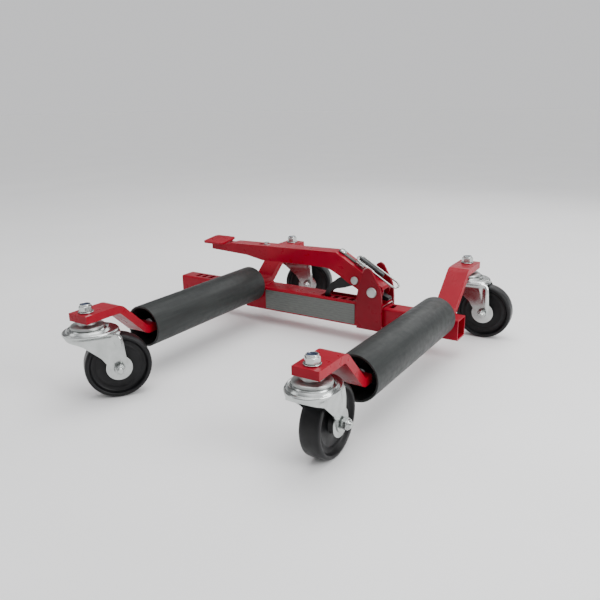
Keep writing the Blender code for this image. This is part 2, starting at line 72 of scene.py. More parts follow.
# driving places, read from the frame and given in the design frame
PIVOT = Vector((76.0, 350.3, 102.2))
DESIGN = Matrix.Translation(joint_at("pedal_hinge") - PIVOT)
TO_DESIGN = DESIGN.inverted()
BEAM_Y = PIVOT.y
SLEEVE_LOW, SLEEVE_HIGH = extent("outer_sleeve")
RACK_LOW, RACK_HIGH = extent("rack_tube")
PAWL_PIVOT = TO_DESIGN @ joint_at("drive_pawl_hinge")
ROLLER_AXIS = {side: TO_DESIGN @ joint_at(f"{side}_roller_spin") for side in ("left", "right")}
KNEE = Vector((-10.0, BEAM_Y, 168.5))
SLOPE = math.radians(-30.1)
GAP = 0.3
PIVOT_BORE, PAWL_BORE = 8.3, 5.3
BAR_WIDTH, BAR_THICKNESS = 40.0, 12.7
ARM_TOP = 141.7
CASTERS = ("front_left", "rear_left", "front_right", "rear_right")

# turn shapes made along Z, or drawn flat on X-Y, onto the other axes
ALONG = {
    "X": Matrix(((0, 0, 1, 0), (1, 0, 0, 0), (0, 1, 0, 0), (0, 0, 0, 1))),
    "Y": Matrix(((0, 1, 0, 0), (0, 0, 1, 0), (1, 0, 0, 0), (0, 0, 0, 1))),
    "Z": Matrix(),
}
ACROSS_Y = Matrix(((1, 0, 0, 0), (0, 0, 1, 0), (0, 1, 0, 0), (0, 0, 0, 1)))


# ---------------------------------------------------------------- mesh building
def data_of(bm, name="shape"):
    bmesh.ops.recalc_face_normals(bm, faces=bm.faces)
    mesh = bpy.data.meshes.new(name)
    bm.to_mesh(mesh)
    bm.free()
    return mesh


def mesh_of(data, modify=None):
    """The mesh that a curve, or a mesh under modifiers, makes, with its loose seams welded."""
    source = bpy.data.objects.new("source", data)
    bpy.context.scene.collection.objects.link(source)
    if modify:
        modify(source)
    evaluated = source.evaluated_get(bpy.context.evaluated_depsgraph_get())
    mesh = bpy.data.meshes.new_from_object(evaluated)
    bm = bmesh.new()
    bm.from_mesh(mesh)
    bmesh.ops.remove_doubles(bm, verts=bm.verts, dist=WELD)
    bpy.data.objects.remove(source, do_unlink=True)
    bpy.data.meshes.remove(mesh)
    return bm


def moved(bm, matrix):
    bmesh.ops.transform(bm, matrix=matrix, verts=bm.verts)
    return bm


def joined(*shapes):
    """Separate bodies in one mesh."""
    whole = bmesh.new()
    for shape in shapes:
        mesh = data_of(shape)
        whole.from_mesh(mesh)
        bpy.data.meshes.remove(mesh)
    return whole


def carved(bm, tool, operation="DIFFERENCE"):
    cutter = bpy.data.objects.new("tool", data_of(tool))
    bpy.context.scene.collection.objects.link(cutter)

    def carve(source):
        modifier = source.modifiers.new("carve", "BOOLEAN")
        modifier.operation = operation
        modifier.solver = "EXACT"
        modifier.object = cutter

    result = mesh_of(data_of(bm), carve)
    bpy.data.objects.remove(cutter, do_unlink=True)
    return result


def poly_curve(lines, dimensions, cyclic=True):
    curve = bpy.data.curves.new("line", "CURVE")
    curve.dimensions = dimensions
    for line in lines:
        spline = curve.splines.new("POLY")
        spline.points.add(len(line) - 1)
        for point, place in zip(spline.points, line):
            point.co = (*place, 0, 1) if len(place) == 2 else (*place, 1)
        spline.use_cyclic_u = cyclic
    return curve


def prism(outline, low, high, axis, hole=None):
    """A flat outline between two levels along one axis: X takes (y, z) points, Y (x, z) and
    Z (x, y)."""
    curve = poly_curve([outline, hole] if hole else [outline], "2D")
    curve.fill_mode = "BOTH"
    curve.extrude = (high - low) / 2
    bm = mesh_of(curve)
    bmesh.ops.translate(bm, vec=(0, 0, (low + high) / 2), verts=bm.verts)
    return moved(bm, {"X": ALONG["X"], "Y": ACROSS_Y, "Z": Matrix()}[axis])


def lathe(profile, axis="Z", steps=64, centre=(0, 0, 0)):
    """(radius, height) points turned about an axis. The profile closes on itself unless it starts
    and ends on the axis."""
    bm = bmesh.new()
    points = [bm.verts.new((radius, 0, height)) for radius, height in profile]
    ends = points[1:] if profile[0][0] == 0 and profile[-1][0] == 0 else points[1:] + points[:1]
    for a, b in zip(points, ends):
        bm.edges.new((a, b))

    def turn(source):
        screw = source.modifiers.new("turned", "SCREW")
        screw.steps = screw.render_steps = steps
        screw.use_merge_vertices = True
        screw.merge_threshold = WELD

    mesh = bpy.data.meshes.new("profile")
    bm.to_mesh(mesh)
    bm.free()
    return moved(mesh_of(mesh, turn), Matrix.Translation(centre) @ ALONG[axis])


def rod(radius, low, high, axis="Z", steps=40, centre=(0, 0, 0)):
    return lathe([(0, low), (radius, low), (radius, high), (0, high)], axis, steps, centre)


def box(x0, x1, y0, y1, z0, z1):
    bm = bmesh.new()
    middle = Matrix.Translation(((x0 + x1) / 2, (y0 + y1) / 2, (z0 + z1) / 2))
    size = Matrix.Diagonal((x1 - x0, y1 - y0, z1 - z0, 1))
    bmesh.ops.create_cube(bm, size=1, matrix=middle @ size)
    return bm


def swept(path, radius, cyclic=False, sides=3):
    """A round wire or bead along a path of points."""
    curve = poly_curve([path], "3D", cyclic)
    curve.bevel_depth = radius
    curve.bevel_resolution = sides
    curve.use_fill_caps = not cyclic
    return mesh_of(curve)


def arc(x, z, radius, start, end, steps):
    """Points round (x, z), from one angle to another in degrees."""
    angles = [math.radians(start + (end - start) * i / steps) for i in range(steps + 1)]
    return [(x + radius * math.cos(a), z + radius * math.sin(a)) for a in angles]


def rounded(points, radius, steps=5, closed=True):
    """The outline with each corner turned into an arc, of a smaller radius on a short side."""
    result = []
    count = len(points)
    for i, corner in enumerate(points):
        if not closed and i in (0, count - 1):
            result.append(tuple(corner))
            continue
        corner = Vector(corner)
        before, after = Vector(points[i - 1]), Vector(points[(i + 1) % count])
        a, b = before - corner, after - corner
        half = a.angle(b) / 2
        reach = min(radius / math.tan(half), a.length * 0.45, b.length * 0.45)
        size = reach * math.tan(half)
        a.normalize()
        b.normalize()
        if math.pi / 2 - half < 0.02:
            result.append(tuple(corner))
            continue
        centre = corner + (a + b).normalized() * (size / math.sin(half))
        first, last = corner + a * reach - centre, corner + b * reach - centre
        sweep = math.atan2(first.x * last.y - first.y * last.x, first.dot(last))
        for k in range(steps + 1):
            t = sweep * k / steps
            result.append((centre.x + first.x * math.cos(t) - first.y * math.sin(t),
                           centre.y + first.x * math.sin(t) + first.y * math.cos(t)))
    return result


def square(cy, cz, size, radius):
    h = size / 2
    corners = [(cy + h, cz + h), (cy - h, cz + h), (cy - h, cz - h), (cy + h, cz - h)]
    return rounded(corners, radius, 8)


def hexagon(across_flats, turn=0.0):
    r = across_flats / math.sqrt(3)
    return [(r * math.cos(math.radians(60 * i + turn)), r * math.sin(math.radians(60 * i + turn)))
            for i in range(6)]


def hex_head(across_flats, low, high, turn=0.0, both=False):
    """A hexagon with its corners turned off at the outer end, or at both ends."""
    r = across_flats / math.sqrt(3) + 0.05
    face = across_flats / 2 * 0.96
    drop = (r - face) * 0.55
    blank = [(0, low), (face, low), (r, low + drop)] if both else [(0, low), (r, low)]
    blank += [(r, high - drop), (face, high), (0, high)]
    return carved(prism(hexagon(across_flats, turn), low - 1, high + 1, "Z"),
                  lathe(blank, steps=72), "INTERSECT")


def threaded(radius, low, high, pitch=1.25, steps=36):
    """A stud end whose turned ridges stand in for its thread, chamfered at the top."""
    profile = [(0, low), (radius, low)]
    z = low + pitch
    while z < high - pitch:
        profile += [(radius - 0.55, z), (radius, z + pitch / 2)]
        z += pitch
    profile += [(radius - 0.3, high - pitch), (radius - 1.2, high), (0, high)]
    return lathe(profile, steps=steps)


def ribbon(path, radius, thickness):
    """The outline of a flat bar of this thickness bent along a path."""
    line = [Vector(p) for p in rounded(path, radius, 12, closed=False)]
    left, right = [], []
    for i, point in enumerate(line):
        back = (point - line[i - 1]).normalized() if i else None
        ahead = (line[i + 1] - point).normalized() if i + 1 < len(line) else None
        if back and ahead:
            along = (back + ahead).normalized()
            offset = thickness / 2 / along.dot(back)
        else:
            along, offset = back or ahead, thickness / 2
        normal = Vector((-along.y, along.x)) * offset
        left.append(tuple(point + normal))
        right.append(tuple(point - normal))
    return left + right[::-1]


def bevelled(obj, width, segments, angle):
    edges = obj.modifiers.new("edges", "BEVEL")
    edges.width = width
    edges.segments = segments
    edges.limit_method = "ANGLE"
    edges.angle_limit = math.radians(angle)


def piece(name, bm, material, body, at=DESIGN, bevel=0.0, segments=3, angle=35.0, node=None,
          slot=None):
    """An object of this mesh, riding on a body and standing for a CAD node if one is named."""
    moved(bm, Matrix.Scale(MM, 4) @ at)
    obj = bpy.data.objects.new(name, data_of(bm, name))
    bpy.context.scene.collection.objects.link(obj)
    obj.data.materials.append(material)
    obj.data.shade_smooth()
    obj.data.set_sharp_from_angle(angle=math.radians(angle))
    if bevel:
        bevelled(obj, bevel * MM, segments, angle)
        settle = obj.modifiers.new("normals", "WEIGHTED_NORMAL")
        settle.keep_sharp = True
        settle.weight = 100
    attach(obj, body)
    if node:
        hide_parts(node)
    return obj


def stands_for(node, bm, material, **how):
    """The finished shape of a CAD node."""
    return piece(f"{node}_finished", bm, material, BODY_OF[node], node=node, **how)


# ---------------------------------------------------------------- materials
class Recipe:
    """Builds one procedural material round its Principled shader."""

    def __init__(self, name, colour, roughness, metallic=0.0):
        self.material = bpy.data.materials.new(name)
        self.material.use_nodes = True
        self.tree = self.material.node_tree
        self.shader = self.tree.nodes["Principled BSDF"]
        self.shader.inputs["Base Color"].default_value = (*colour, 1)
        self.shader.inputs["Roughness"].default_value = roughness
        self.shader.inputs["Metallic"].default_value = metallic
        self.place = self.node("ShaderNodeTexCoord").outputs["Object"]
        self.bump_out = None

    def node(self, kind, **settings):
        made = self.tree.nodes.new(kind)
        for key, value in settings.items():
            setattr(made, key, value)
        return made

    def link(self, a, b):
        self.tree.links.new(a, b)

    def set(self, name, value):
        self.shader.inputs[name].default_value = value

    def stretched(self, scale):
        mapping = self.node("ShaderNodeMapping")
        mapping.inputs["Scale"].default_value = scale
        self.link(self.place, mapping.inputs["Vector"])
        return mapping.outputs["Vector"]

    def noise(self, scale, detail=3.0, stretch=(1, 1, 1), roughness=0.55):
        texture = self.node("ShaderNodeTexNoise")
        texture.inputs["Scale"].default_value = scale
        texture.inputs["Detail"].default_value = detail
        texture.inputs["Roughness"].default_value = roughness
        self.link(self.stretched(stretch), texture.inputs["Vector"])
        return texture.outputs["Fac"]

    def spangle(self, scale):
        texture = self.node("ShaderNodeTexVoronoi")
        texture.inputs["Scale"].default_value = scale
        self.link(self.place, texture.inputs["Vector"])
        split = self.node("ShaderNodeSeparateColor")
        self.link(texture.outputs["Color"], split.inputs["Color"])
        return split.outputs["Red"]

    def ramp(self, value, stops):
        ramp = self.node("ShaderNodeValToRGB")
        elements = ramp.color_ramp.elements
        while len(elements) < len(stops):
            elements.new(0.5)
        for element, (position, colour) in zip(elements, stops):
            element.position = position
            element.color = (*colour, 1) if len(colour) == 3 else colour
        self.link(value, ramp.inputs["Fac"])
        return ramp.outputs["Color"]

    def between(self, value, low, high, from_low=0.3, from_high=0.7):
        span = self.node("ShaderNodeMapRange")
        for key, number in (("From Min", from_low), ("From Max", from_high), ("To Min", low),
                            ("To Max", high)):
            span.inputs[key].default_value = number
        self.link(value, span.inputs["Value"])
        return span.outputs["Result"]

    def mixed(self, factor, a, b):
        mix = self.node("ShaderNodeMix", data_type="RGBA")
        self.link(factor, mix.inputs["Factor"])
        for socket, value in (("A", a), ("B", b)):
            slot = next(s for s in mix.inputs if s.name == socket and s.type == "RGBA")
            if isinstance(value, tuple):
                slot.default_value = (*value, 1)
            else:
                self.link(value, slot)
        return next(s for s in mix.outputs if s.type == "RGBA")

    def edges(self, reach, low=0.02, high=0.12):
        """1 along convex edges, from how far a softened normal leans from the true one."""
        soft = self.node("ShaderNodeBevel", samples=6)
        soft.inputs["Radius"].default_value = reach
        true = self.node("ShaderNodeNewGeometry")
        dot = self.node("ShaderNodeVectorMath", operation="DOT_PRODUCT")
        self.link(soft.outputs["Normal"], dot.inputs[0])
        self.link(true.outputs["Normal"], dot.inputs[1])
        lean = self.node("ShaderNodeMath", operation="SUBTRACT")
        lean.inputs[0].default_value = 1.0
        self.link(dot.outputs["Value"], lean.inputs[1])
        return self.between(lean.outputs["Value"], 0.0, 1.0, low, high)

    def times(self, a, b):
        product = self.node("ShaderNodeMath", operation="MULTIPLY")
        self.link(a, product.inputs[0])
        if isinstance(b, float):
            product.inputs[1].default_value = b
        else:
            self.link(b, product.inputs[1])
        return product.outputs["Value"]

    def colour(self, value):
        self.link(value, self.shader.inputs["Base Color"])

    def roughness(self, value):
        self.link(value, self.shader.inputs["Roughness"])

    def bump(self, value, strength, distance=0.001):
        bump = self.node("ShaderNodeBump")
        bump.inputs["Strength"].default_value = strength
        bump.inputs["Distance"].default_value = distance
        self.link(value, bump.inputs["Height"])
        if self.bump_out:
            self.link(self.bump_out, bump.inputs["Normal"])
        self.bump_out = bump.outputs["Normal"]
        self.link(self.bump_out, self.shader.inputs["Normal"])


def enamel(name, low, high):
    """Glossy paint over steel: uneven tone, orange peel, edge wear and a painted edge highlight."""
    paint = Recipe(name, high, 0.3)
    tone = paint.ramp(paint.noise(14, 4), [(0.3, low), (0.7, high)])
    # lighter in patches along the edges: partly edge wear, partly a painted highlight
    wear_and_highlight = paint.times(paint.edges(0.0009), paint.between(paint.noise(160, 5), 0.0, 0.5, 0.5, 0.75))
    paint.colour(paint.mixed(wear_and_highlight, tone, (0.30, 0.03, 0.04)))
    paint.roughness(paint.between(paint.noise(60, 5), 0.24, 0.40))
    paint.bump(paint.noise(420, 2), 0.03, 0.0005)
    paint.set("Coat Weight", 0.05)
    paint.set("Coat Roughness", 0.12)
    paint.set("Specular IOR Level", 0.15)
    return paint.material


def powder_coat():
    """Satin charcoal, finely pebbled, with faint lengthwise streaks and rubbed rims."""
    coat = Recipe("charcoal_powder_coat", (0.018, 0.020, 0.020), 0.5)
    streaks = coat.noise(26, 5, (6.0, 0.5, 6.0))
    tone = coat.ramp(streaks, [(0.28, (0.013, 0.015, 0.015)), (0.72, (0.025, 0.028, 0.027))])
    rubbed = coat.times(coat.edges(0.0010), coat.between(coat.noise(120, 4), 0.1, 0.7))
    coat.colour(coat.mixed(rubbed, tone, (0.07, 0.07, 0.069)))
    coat.roughness(coat.between(coat.noise(90, 4), 0.40, 0.55))
    coat.bump(coat.noise(700, 2), 0.22, 0.0004)
    coat.bump(streaks, 0.03)
    coat.set("Specular IOR Level", 0.28)
    return coat.material


def zinc(name="bright_zinc", tint=(0.52, 0.54, 0.53), rough=(0.18, 0.27)):
    """Plated steel: fine spangle, clouded gloss and a duller grey in random clouds."""
    plate = Recipe(name, tint, 0.28, 1.0)
    cloud = plate.noise(70, 4)
    dull = tuple(0.80 * c for c in tint)
    tone = plate.ramp(cloud, [(0.25, dull), (0.65, tint)])
    grain = plate.between(plate.spangle(900), 0.0, 0.08, 0.0, 1.0)
    plate.colour(plate.mixed(grain, tone, (0.36, 0.39, 0.38)))
    plate.roughness(plate.between(plate.noise(130, 4), *rough))
    plate.bump(plate.noise(650, 3), 0.02, 0.0002)
    return plate.material


def moulded_black():
    """Hard wheel polymer, lightly scuffed on the tread, with a soft sheen."""
    body = Recipe("wheel_polymer", (0.014, 0.014, 0.015), 0.4)
    scuff = body.noise(55, 6)
    body.colour(body.ramp(scuff, [(0.35, (0.003, 0.003, 0.0035)), (0.75, (0.009, 0.009, 0.010))]))
    body.roughness(body.between(body.noise(85, 5), 0.30, 0.50))
    body.bump(body.noise(520, 3), 0.10, 0.0004)
    body.set("Specular IOR Level", 0.25)
    return body.material


def black_steel():
    steel = Recipe("black_oxide", (0.016, 0.016, 0.017), 0.35, 0.5)
    rubbed = steel.times(steel.edges(0.0008), steel.between(steel.noise(150, 4), 0.0, 0.8))
    steel.colour(steel.mixed(rubbed, (0.014, 0.014, 0.015), (0.10, 0.10, 0.10)))
    steel.roughness(steel.between(steel.noise(110, 4), 0.25, 0.45))
    steel.bump(steel.noise(480, 3), 0.08, 0.0004)
    return steel.material


def turned_steel(name, colour, rough=(0.28, 0.42)):
    """Bare metal with the fine lines of its cutting."""
    steel = Recipe(name, colour, 0.35, 1.0)
    lines = steel.noise(60, 4, (1.0, 14.0, 14.0))
    dull = tuple(0.72 * c for c in colour)
    steel.colour(steel.ramp(lines, [(0.3, dull), (0.7, colour)]))
    steel.roughness(steel.between(lines, *rough))
    steel.bump(lines, 0.10, 0.0004)
    return steel.material


def label_metal():
    """Brushed grey plate, left blank, with faint ruled lines along it."""
    plate = Recipe("blank_plate", (0.20, 0.21, 0.20), 0.45, 0.35)
    brushed = plate.noise(42, 5, (2.0, 1.0, 26.0))
    tone = plate.ramp(brushed, [(0.3, (0.080, 0.086, 0.080)), (0.7, (0.150, 0.158, 0.148))])
    ruled = plate.node("ShaderNodeTexWave", wave_type="BANDS", bands_direction="Z")
    ruled.inputs["Scale"].default_value = 64
    ruled.inputs["Distortion"].default_value = 0.0
    plate.link(plate.place, ruled.inputs["Vector"])
    lines = plate.between(ruled.outputs["Fac"], 0.0, 0.22, 0.62, 0.95)
    plate.colour(plate.mixed(lines, tone, (0.19, 0.20, 0.19)))
    plate.roughness(plate.between(brushed, 0.38, 0.55))
    plate.bump(brushed, 0.06, 0.0004)
    return plate.material


def webbing():
    strap = Recipe("woven_strap", (0.05, 0.055, 0.05), 0.8)
    weave = strap.node("ShaderNodeTexWave", wave_type="BANDS", bands_direction="DIAGONAL")
    weave.inputs["Scale"].default_value = 420
    weave.inputs["Distortion"].default_value = 1.5
    strap.link(strap.place, weave.inputs["Vector"])
    strap.colour(strap.ramp(weave.outputs["Fac"], [(0.2, (0.020, 0.024, 0.021)),
                                                   (0.8, (0.085, 0.092, 0.084))]))
    strap.bump(weave.outputs["Fac"], 0.5, 0.0005)
    strap.set("Sheen Weight", 0.3)
    return strap.material


def nylon():
    insert = Recipe("nut_insert", (0.012, 0.022, 0.055), 0.4)
    tone = insert.noise(300, 3)
    insert.colour(insert.ramp(tone, [(0.3, (0.008, 0.014, 0.038)), (0.7, (0.018, 0.032, 0.075))]))
    insert.roughness(insert.between(tone, 0.3, 0.5))
    return insert.material


RED = enamel("red_enamel", (0.23, 0.0003, 0.010), (0.30, 0.0006, 0.014))
# a darker copy of the red enamel: painted shade on the ear plates and their welds
SHADED_EAR_RED = enamel("ear_enamel_painted_shade", (0.17, 0.0003, 0.008), (0.22, 0.0005, 0.011))
CHARCOAL = powder_coat()
ZINC = zinc()
PIN_ZINC = zinc("hammered_zinc", (0.46, 0.47, 0.46), (0.32, 0.48))
DARK_ZINC = zinc("shaded_zinc", (0.40, 0.41, 0.40), (0.28, 0.45))
WHEEL_BLACK = moulded_black()
BLACK_STEEL = black_steel()
SHAFT_STEEL = turned_steel("shaft_steel", (0.45, 0.46, 0.47))
# bare steel made bright: a painted highlight on the sleeve's sawn end
HIGHLIGHT_STEEL = turned_steel("sawn_end_highlight", (0.62, 0.56, 0.53), (0.22, 0.36))
PIN_STEEL = turned_steel("dark_pin_steel", (0.10, 0.105, 0.105), (0.25, 0.4))
LABEL = label_metal()
STRAP = webbing()
NYLON = nylon()


# ---------------------------------------------------------------- beam
def sleeve():
    """The outer tube with its slot, and a painted highlight on its sawn end."""
    sleeve_z = (SLEEVE_LOW.z + SLEEVE_HIGH.z) / 2
    size, wall = SLEEVE_HIGH.z - SLEEVE_LOW.z, 3.0
    slot_left, slot_right, half = -46.0, 80.0, 19.0
    tube = prism(square(BEAM_Y, sleeve_z, size, 5.0), SLEEVE_LOW.x, SLEEVE_HIGH.x, "X",
                 square(BEAM_Y, sleeve_z, size - 2 * wall, 2.2))
    corners = [(slot_left, BEAM_Y - half), (slot_right, BEAM_Y - half),
               (slot_right, BEAM_Y + half), (slot_left, BEAM_Y + half)]
    slot = prism(rounded(corners, 5.0), SLEEVE_HIGH.z - 8, SLEEVE_HIGH.z + 8, "Z")
    stands_for("outer_sleeve", carved(tube, slot), RED, bevel=0.5)
    # a thin band on the sawn end, taken as bare steel and made bright as a painted highlight
    rim = prism(square(BEAM_Y, sleeve_z, size - 0.9, 4.6), SLEEVE_HIGH.x - 0.3,
                SLEEVE_HIGH.x + 0.12, "X", square(BEAM_Y, sleeve_z, size - 2 * wall + 0.9, 2.6))
    piece("sleeve_end_highlight", rim, HIGHLIGHT_STEEL, "left_frame", slot="bright_steel")


def rack():
    """The inner tube with the row of windows that the pawls catch in."""
    rack_z, size = (RACK_LOW.z + RACK_HIGH.z) / 2, RACK_HIGH.z - RACK_LOW.z
    tube = prism(square(BEAM_Y, rack_z, size, 4.0), RACK_LOW.x, RACK_HIGH.x, "X",
                 square(BEAM_Y, rack_z, size - 6.0, 1.6))
    half, length, pitch, first, count = 10.0, 10.0, 18.0, -384.0, 28
    windows = []
    for i in range(count):
        x = first + i * pitch
        corners = [(x, BEAM_Y - half), (x + length, BEAM_Y - half), (x + length, BEAM_Y + half),
                   (x, BEAM_Y + half)]
        windows.append(prism(rounded(corners, 1.5, 4), RACK_HIGH.z - 6, RACK_HIGH.z + 4, "Z"))
    stands_for("rack_tube", carved(tube, joined(*windows)), RED, bevel=0.4, segments=2)


def ears():
    upper = [(97, 60), (96.5, 84), (95.2, 101), (92.5, 111), (83, 128), (73.5, 145),
             (66.5, 149.5), (58, 144), (52.5, 122), (46.5, 104), (44, 92)]
    outline = [(44, 26), (98, 26)] + rounded(upper, 9.0, 8, closed=False)
    for name in ("near_ear", "far_ear"):
        low, high = (corner.y for corner in extent(name))
        plate = prism(outline, low, high, "Y")
        hole = rod(PIVOT_BORE, low - 5, high + 5, "Y", 48, (PIVOT.x, 0, PIVOT.z))
        stands_for(name, carved(plate, hole), SHADED_EAR_RED, bevel=0.7)


def data_plate():
    low, high = extent("data_plate")
    corners = [(low.x, low.z), (high.x, low.z), (high.x, high.z), (low.x, high.z)]
    plate = prism(rounded(corners, 2.0, 5), low.y, high.y, "Y")
    stands_for("data_plate", plate, LABEL, bevel=0.25, segments=2)


def bead(name, path, radius, body, material):
    """A weld: a bead along a path, rippled as it was laid."""
    line = [Vector(p) for p in path]
    points = []
    for a, b in zip(line, line[1:]):
        count = max(2, int((b - a).length / 1.1))
        points += [a.lerp(b, i / count) for i in range(count)]
    points.append(line[-1])
    bm = swept(points, radius, sides=3)
    for vert in bm.verts:
        nearest = min(points, key=lambda p: (p - vert.co).length_squared)
        ripple = 1.0 + 0.16 * math.sin(nearest.dot(Vector((1, 1, 1))) * 2.2)
        vert.co = nearest + (vert.co - nearest) * ripple
    return piece(name, bm, material, body, slot="red_paint", angle=80)


def welds():
    top = SLEEVE_HIGH.z
    near, far = SLEEVE_LOW.y, SLEEVE_HIGH.y
    x0, x1 = 46.0, 94.0
    for name, y in (("near_ear_weld", near - 0.6), ("far_ear_weld", far + 0.6)):
        bead(name, [(x0, y, top + 0.3), (x1 - 0.5, y, top + 0.3)], 1.9, "left_frame", SHADED_EAR_RED)
    for side, body in (("left", "left_frame"), ("right", "right_frame")):
        x = ROLLER_AXIS[side].x
        beam_top = SLEEVE_HIGH.z if side == "left" else RACK_HIGH.z
        y0, y1 = (near, far) if side == "left" else (RACK_LOW.y, RACK_HIGH.y)
        for mark, dx in (("inner", -1), ("outer", 1)):
            edge = x + dx * (BAR_WIDTH / 2 + 0.5)
            bead(f"{side}_rear_foot_weld_{mark}",
                 [(edge, y0 + 4, beam_top + 0.6), (edge, y1 - 4, beam_top + 0.6)],
                 2.1, body, RED)


# ---------------------------------------------------------------- arms, shafts and rollers
# in Y: an arm's end past its caster, its upper bend, its lower bend, and its inner end
ARM_PATHS = {
    "front": (-132.5, -62.5, -8.0, 14.0),
    "rear": (500.0, 431.0, 368.0, 322.0),
}


def arm(name, place):
    """A cranked flat bar, from its caster down to the shaft or to its foot on the beam."""
    x, axis_z = ROLLER_AXIS[name].x, ROLLER_AXIS[name].z
    arm_z = ARM_TOP - BAR_THICKNESS / 2
    end, knee, foot, tip = ARM_PATHS[place]
    path = [(end, arm_z), (knee, arm_z), (foot, axis_z), (tip, axis_z)]
    bar = prism(ribbon(path, 15.0, BAR_THICKNESS), x - BAR_WIDTH / 2, x + BAR_WIDTH / 2, "X")
    y = (TO_DESIGN @ joint_at(f"{place}_{name}_swivel_turn")).y
    hole = rod(6.4, ARM_TOP - 30, ARM_TOP + 10, centre=(x, y, 0))
    stands_for(f"{name}_{place}_arm", carved(bar, hole), RED, bevel=1.3, angle=40)


def shaft_weld(name):
    """The weld round the shaft on the front arm, kept to the bar's thickness."""
    x, axis_z = ROLLER_AXIS[name].x, ROLLER_AXIS[name].z
    arm_end, keep = ARM_PATHS["front"][-1] + 0.2, 6.0
    collar = lathe([(10.2, -1.2), (13.4, -1.2), (12.6, 0.6), (11.4, 1.7), (10.2, 2.1)], "Y", 48,
                   (x, arm_end, axis_z))
    for vert in collar.verts:
        vert.co.z = max(axis_z - keep, min(axis_z + keep, vert.co.z))
    piece(f"{name}_shaft_weld", collar, RED, f"{name}_frame", slot="red_paint")


def roller(name):
    """The shaft, the tube with its rounded lips, and the welded discs inside it."""
    x, axis_z = ROLLER_AXIS[name].x, ROLLER_AXIS[name].z
    y0, y1 = (corner.y for corner in extent(f"{name}_shaft"))
    shaft = [(0, y0), (9.2, y0), (10, y0 + 0.8), (10, y1 - 0.8), (9.2, y1), (0, y1)]
    stands_for(f"{name}_shaft", lathe(shaft, "Y", 64, (x, 0, axis_z)), SHAFT_STEEL)

    y0, y1 = (corner.y for corner in extent(f"{name}_roller"))
    radius, wall, inset, thick, hub = 36.5, 3.5, 60.0, 10.0, 10.4
    bore = radius - wall
    shape = [(bore, y0), (radius, y0), (radius, y1), (bore, y1)]
    profile = rounded(shape, 0.9, 4)
    start = max(range(len(profile)), key=lambda i: -profile[i][0] * 1000 + profile[i][1])
    profile = profile[start:] + profile[:start]
    shell = lathe(profile, "Y", 128, (x, 0, axis_z))
    rings = []
    for near, sign in ((y0 + inset, 1), (y1 - inset, -1)):  # the disc's outer face, and inwards
        disc = [(hub, near), (hub + 1.0, near - sign * 3.0), (hub + 5.0, near - sign * 3.0),
                (hub + 6.5, near), (bore - 3.0, near), (bore - 0.1, near - sign * 2.6),
                (bore - 0.1, near + sign * thick), (hub, near + sign * thick)]
        rings.append(lathe(disc, "Y", 96, (x, 0, axis_z)))
    stands_for(f"{name}_roller", shell, CHARCOAL, angle=50)
    for mark, ring in zip(("near", "far"), rings):
        piece(f"{name}_roller_disc_{mark}", ring, CHARCOAL, f"{name}_roller",
              slot="roller_coat", bevel=0.4)


# ---------------------------------------------------------------- casters
def level(z, x0, x1, half, power, fluting=0.0, steps=96):
    """One level of the fork's pressed body, from round at the top to straight-sided, with
    upright flutes pressed into its legs."""
    centre, reach = (x0 + x1) / 2, (x1 - x0) / 2
    ring = []
    for i in range(steps):
        a = 2 * math.pi * i / steps
        c, s = math.cos(a), math.sin(a)
        x = centre + reach * math.copysign(abs(c) ** (2 / power), c)
        y = half * math.copysign(abs(s) ** (2 / power), s)
        if fluting and abs(s) > 0.2:
            press = 0.5 - 0.5 * math.cos(2 * math.pi * (x - 8.0) / 15.0)
            y += math.copysign(fluting * press, s)
        ring.append((x, y, z))
    return ring


def lofted(rings):
    bm = bmesh.new()
    rows = [[bm.verts.new(point) for point in ring] for ring in rings]
    for low, high in zip(rows, rows[1:]):
        for i, corner in enumerate(low):
            bm.faces.new((low[i - 1], corner, high[i], high[i - 1]))
    bm.faces.new(rows[0])
    bm.faces.new(rows[-1])
    return bm


def eased(keys, steps=5):
    """Levels between these ones, on a smooth curve through them."""
    result = []
    for i in range(len(keys) - 1):
        p = [keys[max(i - 1, 0)], keys[i], keys[i + 1], keys[min(i + 2, len(keys) - 1)]]
        for k in range(steps):
            t = k / steps
            row = []
            for a, b, c, d in zip(*p):
                slope_b, slope_c = (c - a) / 2, (d - b) / 2
                row.append((2 * t ** 3 - 3 * t ** 2 + 1) * b + (t ** 3 - 2 * t ** 2 + t) * slope_b
                           + (3 * t ** 2 - 2 * t ** 3) * c + (t ** 3 - t ** 2) * slope_c)
            result.append(row)
    result.append(list(keys[-1]))
    return result


LEG_INSIDE, LEG_WALL, TRAIL, AXLE_Z = 20.1, 3.0, 40.0, 48.5


